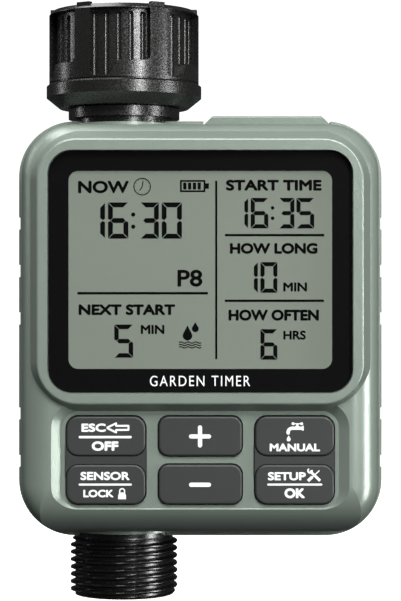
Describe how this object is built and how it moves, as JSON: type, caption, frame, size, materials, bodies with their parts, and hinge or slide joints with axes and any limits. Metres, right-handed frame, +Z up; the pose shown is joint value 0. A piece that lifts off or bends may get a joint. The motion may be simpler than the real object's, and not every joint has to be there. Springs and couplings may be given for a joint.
{
  "type": "drip irrigation timer",
  "caption": "Tap-mounted water timer with a large display, soft keys, a battery drawer, a free-turning inlet nut and a threaded hose outlet.",
  "frame": {"origin": "centre of the swivel nut's mouth, on the water line", "axes": "+Z up along the water line and out of the nut's mouth, -Y out of the display, +X towards the battery drawer"},
  "size_m": [0.0888, 0.052, 0.1442],
  "materials": {
    "green_shell": "fine grained, sage green with a pearl sheen",
    "black_plastic": "fine grained black",
    "key_rubber": "smooth dark grey silicone",
    "seal_rubber": "smooth black",
    "steel": "plated",
    "clear_window": "polished clear plastic",
    "lcd_glass": "grey-green reflective liquid crystal panel",
    "white_plastic": "moulded natural plastic",
    "board_laminate": "green solder mask",
    "polished_ball": "polished",
    "brass_stem": "machined",
    "cell_wrap": "plain printed sleeve"
  },
  "bodies": {
    "housing": {"front_shell": "green_shell", "rear_shell": "green_shell", "housing_seal": "seal_rubber", "housing_screws": "steel", "display_window": "clear_window", "window_gasket": "seal_rubber", "lcd_panel": "lcd_glass", "lcd_frame": "white_plastic", "lcd_connector": "key_rubber", "circuit_board": "board_laminate", "board_screws": "steel", "tact_switches": "black_plastic", "controller_chip": "black_plastic", "board_capacitor": "black_plastic", "lead_socket": "white_plastic", "keypad_mat": "key_rubber", "inlet_spigot": "black_plastic", "inlet_oring": "seal_rubber", "inlet_washer": "seal_rubber", "filter_screen": "white_plastic", "valve_body": "black_plastic", "ball_seat_upper": "white_plastic", "ball_seat_lower": "white_plastic", "outlet_spigot": "black_plastic", "outlet_oring": "seal_rubber", "gear_pins": "steel", "motor_can": "steel", "motor_end": "black_plastic", "gearbox_base": "black_plastic", "gearbox_cover": "black_plastic", "gearbox_screws": "steel", "contact_springs": "steel"},
    "swivel_nut": {"inlet_nut": "black_plastic"},
    "drawer": {"battery_drawer": "green_shell", "battery_lid_seal": "seal_rubber", "cell_left": "cell_wrap", "cell_right": "cell_wrap", "contact_bridge": "steel"},
    "ball": {"valve_ball": "polished_ball", "valve_stem": "brass_stem", "stem_oring": "seal_rubber", "output_gear": "white_plastic"},
    "second_gear": {"gear_b": "white_plastic"},
    "first_gear": {"gear_a": "white_plastic"},
    "rotor": {"motor_shaft": "steel", "motor_pinion": "brass_stem"},
    "key_esc_off_body": {"key_esc_off": "key_rubber"},
    "key_sensor_lock_body": {"key_sensor_lock": "key_rubber"},
    "key_plus_body": {"key_plus": "key_rubber"},
    "key_minus_body": {"key_minus": "key_rubber"},
    "key_manual_body": {"key_manual": "key_rubber"},
    "key_setup_ok_body": {"key_setup_ok": "key_rubber"}
  },
  "joints": [
    {"name": "inlet_nut_spin", "type": "hinge", "parent": "housing", "child": "swivel_nut", "pos_m": [0, 0, -0.012], "axis": [0, 0, 1], "continuous": true},
    {"name": "battery_drawer_slide", "type": "slide", "parent": "housing", "child": "drawer", "axis": [0, 0, 1], "range_m": [0, 0.062]},
    {"name": "ball_turn", "type": "hinge", "parent": "housing", "child": "ball", "pos_m": [0, 0.01, -0.1018], "axis": [0, 1, 0], "range_deg": [0, 90]},
    {"name": "second_gear_turn", "type": "hinge", "parent": "housing", "child": "second_gear", "pos_m": [0.0135, 0.019, -0.1018], "axis": [0, 1, 0], "range_deg": [-396.5, 0]},
    {"name": "first_gear_turn", "type": "hinge", "parent": "housing", "child": "first_gear", "pos_m": [0.025, 0.017, -0.1018], "axis": [0, 1, 0], "range_deg": [0, 1426]},
    {"name": "motor_turn", "type": "hinge", "parent": "housing", "child": "rotor", "pos_m": [0.0365, 0.015, -0.1018], "axis": [0, 1, 0], "range_deg": [-5133, 0]},
    {"name": "key_esc_off_press", "type": "slide", "parent": "housing", "child": "key_esc_off_body", "axis": [0, 1, 0], "range_m": [0, 0.001], "stiffness_N_per_m": 1500},
    {"name": "key_sensor_lock_press", "type": "slide", "parent": "housing", "child": "key_sensor_lock_body", "axis": [0, 1, 0], "range_m": [0, 0.001], "stiffness_N_per_m": 1500},
    {"name": "key_plus_press", "type": "slide", "parent": "housing", "child": "key_plus_body", "axis": [0, 1, 0], "range_m": [0, 0.001], "stiffness_N_per_m": 1500},
    {"name": "key_minus_press", "type": "slide", "parent": "housing", "child": "key_minus_body", "axis": [0, 1, 0], "range_m": [0, 0.001], "stiffness_N_per_m": 1500},
    {"name": "key_manual_press", "type": "slide", "parent": "housing", "child": "key_manual_body", "axis": [0, 1, 0], "range_m": [0, 0.001], "stiffness_N_per_m": 1500},
    {"name": "key_setup_ok_press", "type": "slide", "parent": "housing", "child": "key_setup_ok_body", "axis": [0, 1, 0], "range_m": [0, 0.001], "stiffness_N_per_m": 1500}
  ],
  "couplings": [
    {"joint": "second_gear_turn", "follows": "ball_turn", "ratio": -4.4},
    {"joint": "first_gear_turn", "follows": "ball_turn", "ratio": 15.84},
    {"joint": "motor_turn", "follows": "ball_turn", "ratio": -57.024}
  ]
}
